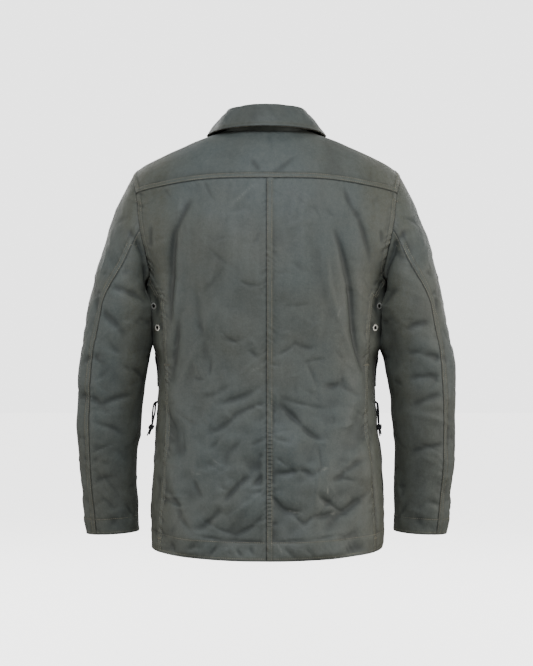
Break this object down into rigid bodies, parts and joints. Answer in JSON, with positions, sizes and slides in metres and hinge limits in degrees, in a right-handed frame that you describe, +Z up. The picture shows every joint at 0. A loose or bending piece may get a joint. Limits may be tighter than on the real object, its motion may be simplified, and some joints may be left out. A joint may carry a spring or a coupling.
{
  "type": "jacket",
  "caption": "Hip-length jacket of waxed cotton with a fold-over collar, a back yoke, long sleeves, flapped bellows pockets, underarm eyelets and a waist cord at each side.",
  "frame": {"origin": "middle of the base of the neck, where the wearer's shoulders hold the jacket up", "axes": "+Z up, the front faces -Y, +X is towards the wearer's left"},
  "size_m": [0.6738, 0.2963, 0.7855],
  "materials": {
    "waxed_cotton": "semi-matte waxed cotton, worn lighter along the seams",
    "nickel": "bright nickel plate",
    "black_cord": "braided cord, matte"
  },
  "bodies": {
    "root": {"back_left": "waxed_cotton", "back_right": "waxed_cotton", "yoke": "waxed_cotton", "front_left": "waxed_cotton", "front_right": "waxed_cotton", "sleeve_top_left": "waxed_cotton", "sleeve_top_right": "waxed_cotton", "sleeve_under_left": "waxed_cotton", "sleeve_under_right": "waxed_cotton", "collar_stand": "waxed_cotton", "collar_fall": "waxed_cotton", "placket": "waxed_cotton", "pocket_left": "waxed_cotton", "pocket_right": "waxed_cotton", "flap_left": "waxed_cotton", "flap_right": "waxed_cotton", "stud_1": "nickel", "stud_2": "nickel", "stud_3": "nickel", "stud_4": "nickel", "stud_5": "nickel", "stud_6": "nickel", "vent_upper_left": "nickel", "vent_upper_right": "nickel", "vent_lower_left": "nickel", "vent_lower_right": "nickel", "cord_eyelet_left": "nickel", "cord_eyelet_right": "nickel", "cord_left_a": "black_cord", "cord_left_b": "black_cord", "cord_right_a": "black_cord", "cord_right_b": "black_cord", "knot_left": "black_cord", "knot_right": "black_cord"}
  },
  "joints": []
}
